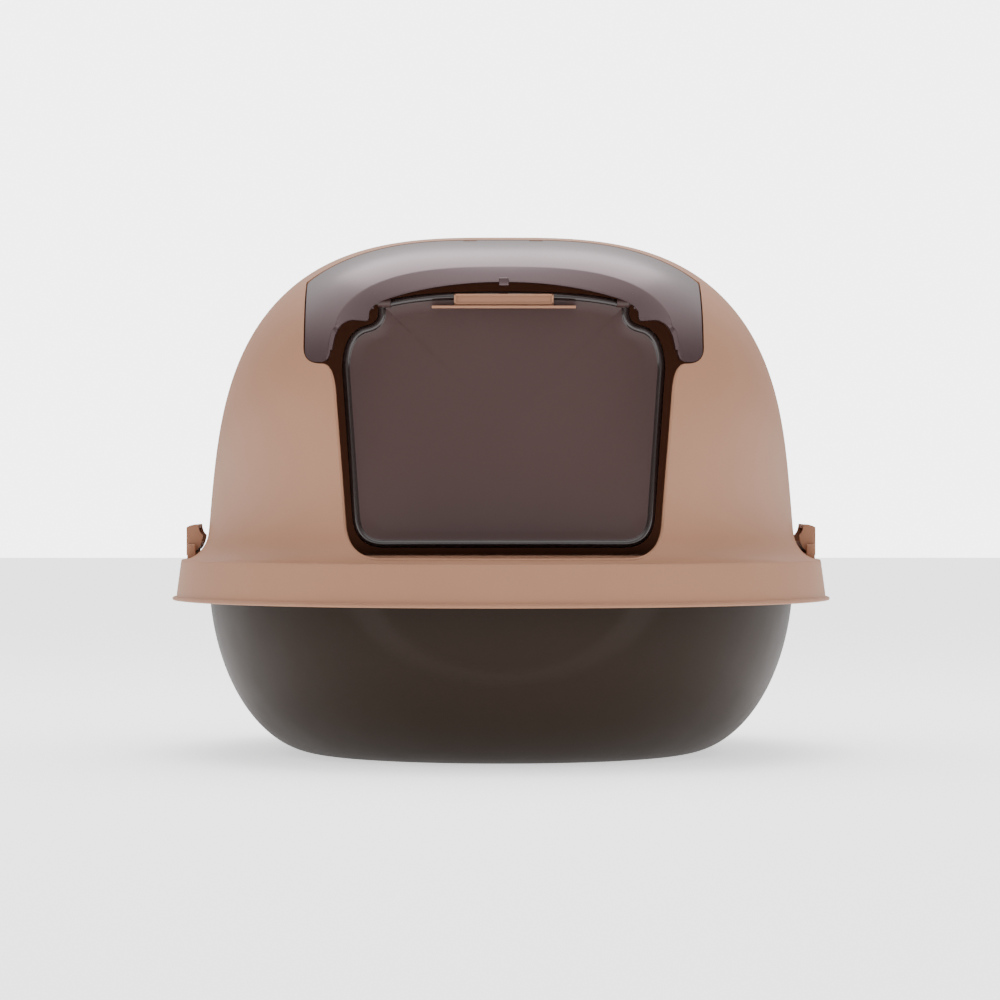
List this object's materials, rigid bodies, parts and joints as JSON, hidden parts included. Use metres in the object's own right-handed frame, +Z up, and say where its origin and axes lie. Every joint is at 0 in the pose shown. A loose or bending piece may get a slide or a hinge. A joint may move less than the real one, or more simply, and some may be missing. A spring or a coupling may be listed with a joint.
{
  "type": "hooded litter box",
  "caption": "Domed cat litter box: a bowl-shaped tray, a lift-off hood with side latches, and a flip-up visor carrying a swing door with a sliding lock.",
  "frame": {"origin": "on the floor, under the middle of the box", "axes": "+Z up, the entrance faces -Y, +X to the viewer's right when facing the entrance"},
  "size_m": [0.46, 0.5418, 0.3546],
  "materials": {
    "hood_plastic": "satin moulded plastic, warm beige",
    "tray_plastic": "satin moulded plastic, dark grey-brown",
    "visor_plastic": "satin moulded plastic, mauve brown",
    "door_plastic": "smoky satin plastic, nearly opaque",
    "pin_plastic": "plain moulded plastic"
  },
  "bodies": {
    "tray": {"tray": "tray_plastic"},
    "hood": {"hood": "hood_plastic", "visor_hinge_pin_left": "pin_plastic", "visor_hinge_pin_right": "pin_plastic", "latch_pin_left": "pin_plastic", "latch_pin_right": "pin_plastic"},
    "visor": {"visor": "visor_plastic", "door_pin_left": "pin_plastic", "door_pin_right": "pin_plastic"},
    "door": {"swing_door": "door_plastic"},
    "lock": {"door_lock_slider": "hood_plastic", "slider_keeper": "hood_plastic"},
    "latch_left": {"side_latch_left": "hood_plastic"},
    "latch_right": {"side_latch_right": "hood_plastic"}
  },
  "joints": [
    {"name": "hood_lift", "type": "slide", "parent": "tray", "child": "hood", "axis": [0, 0, 1], "range_m": [0, 0.15]},
    {"name": "visor_flip", "type": "hinge", "parent": "hood", "child": "visor", "pos_m": [0, -0.16, 0.34499], "axis": [-1, 0, 0], "range_deg": [0, 95]},
    {"name": "door_swing", "type": "hinge", "parent": "visor", "child": "door", "pos_m": [0, -0.2093, 0.3054], "axis": [-1, 0, 0], "range_deg": [-60, 50]},
    {"name": "lock_slide", "type": "slide", "parent": "door", "child": "lock", "axis": [0, 0, 1], "range_m": [0, 0.005]},
    {"name": "latch_left_turn", "type": "hinge", "parent": "hood", "child": "latch_left", "pos_m": [-0.2154, 0, 0.142], "axis": [0, -1, 0], "range_deg": [0, 10]},
    {"name": "latch_right_turn", "type": "hinge", "parent": "hood", "child": "latch_right", "pos_m": [0.2154, 0, 0.142], "axis": [0, 1, 0], "range_deg": [0, 10]}
  ]
}
